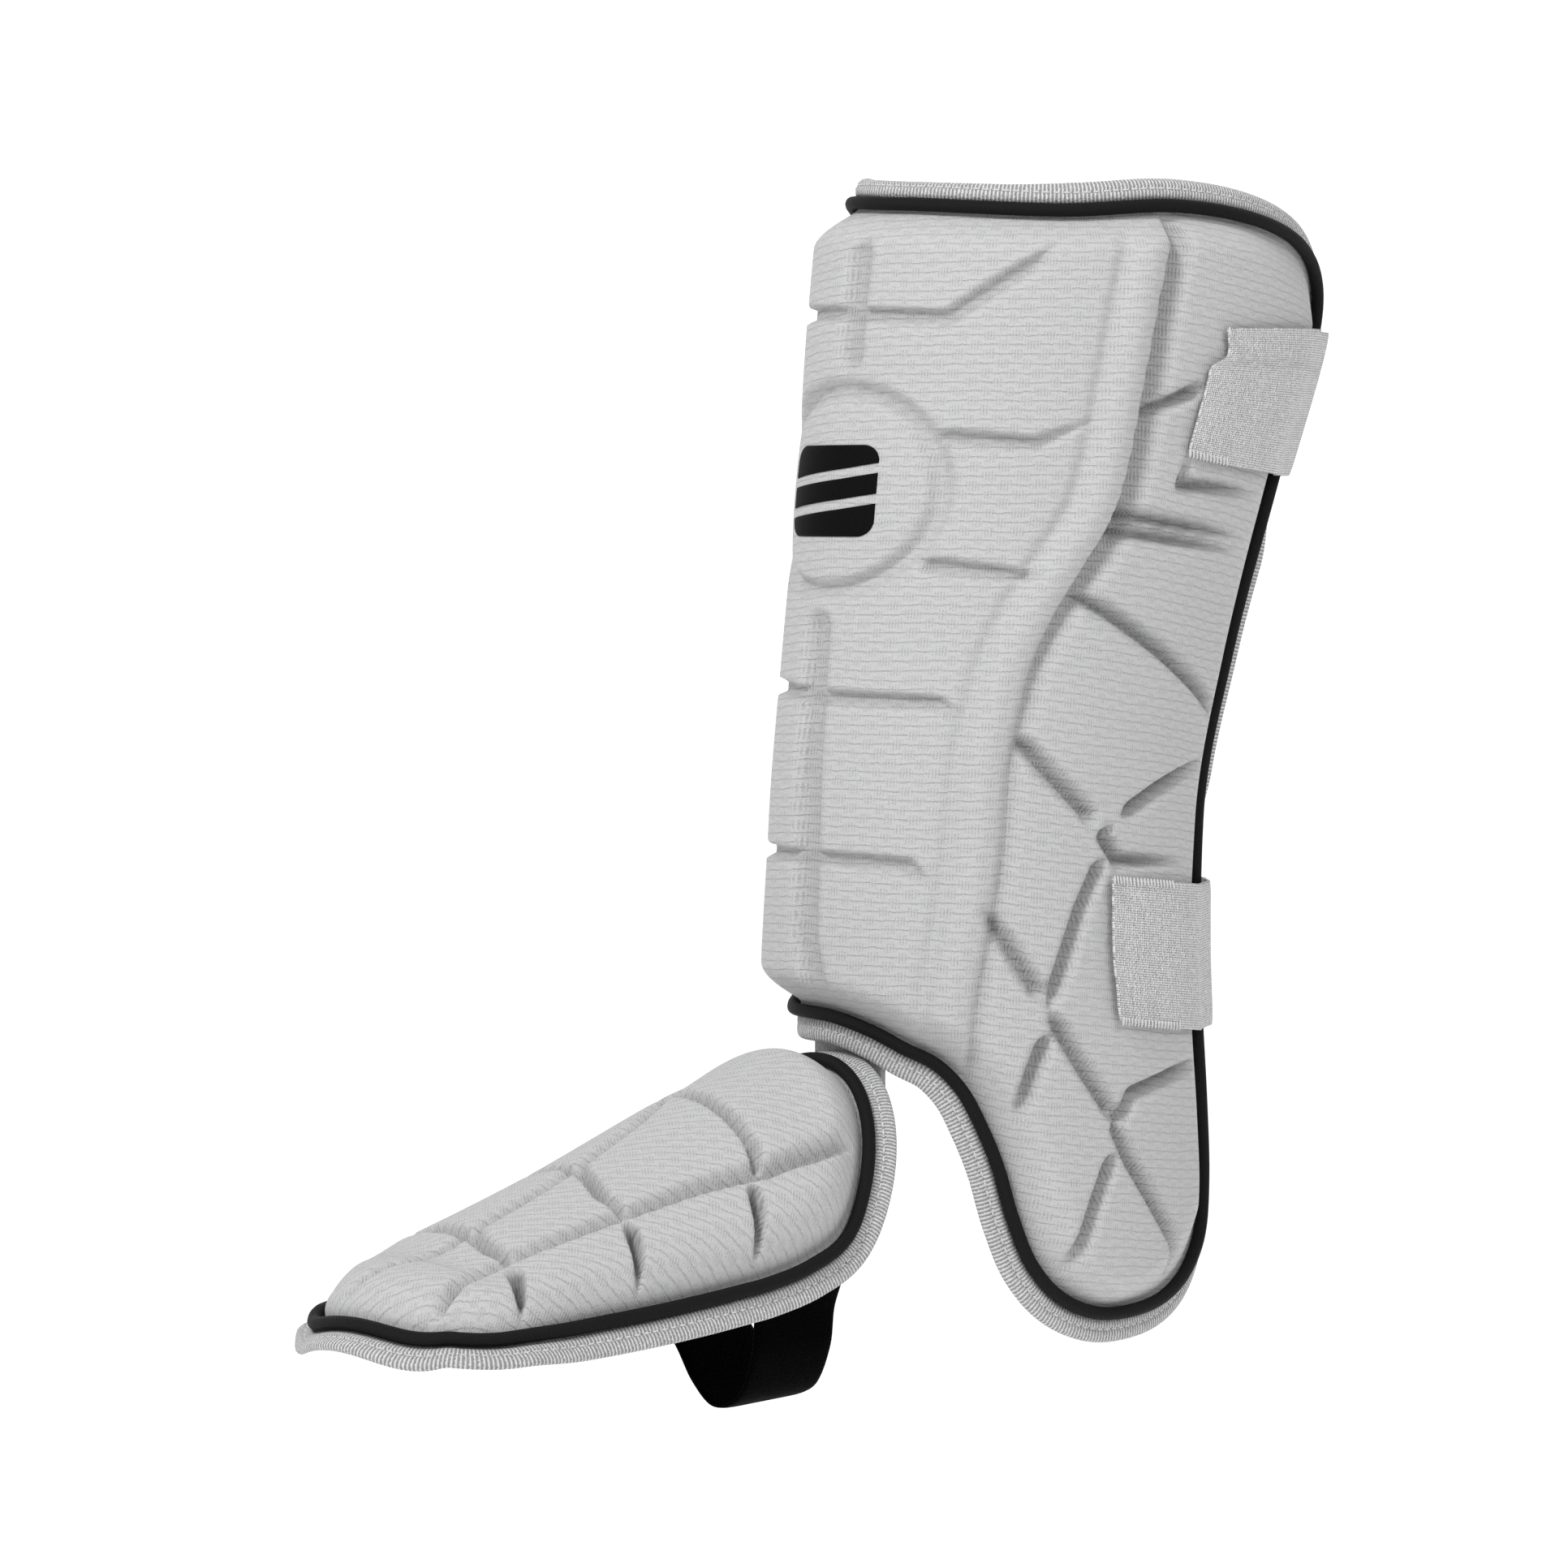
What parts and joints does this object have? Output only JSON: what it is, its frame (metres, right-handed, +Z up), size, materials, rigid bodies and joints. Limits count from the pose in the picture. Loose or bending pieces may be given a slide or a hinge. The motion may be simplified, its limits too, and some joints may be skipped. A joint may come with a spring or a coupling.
{
  "type": "batter's leg guard",
  "caption": "Padded guard for the shin and instep, with a raised boss, an ankle lobe on the outer side, elastic straps round the calf and a stirrup strap under the foot.",
  "frame": {"origin": "on the axis of the leg, level with the bottom of the shin piece's front seam", "axes": "+Z up the leg, -Y towards the toes, +X towards the outer side of the left leg"},
  "size_m": [0.1305, 0.3664, 0.3689],
  "materials": {
    "knit": "light grey knit over moulded foam",
    "piping": "black woven piping",
    "tape": "light grey ribbed tape",
    "elastic": "light grey woven elastic with a slight sheen",
    "stirrup": "black woven elastic",
    "tab": "light grey lining cloth"
  },
  "bodies": {
    "root": {"shin_shell": "knit", "shin_piping": "piping", "shin_binding": "tape", "foot_shell": "knit", "foot_piping": "piping", "foot_binding": "tape", "ankle_tab": "tab", "upper_strap": "elastic", "lower_strap": "elastic", "foot_strap": "stirrup"}
  },
  "joints": []
}
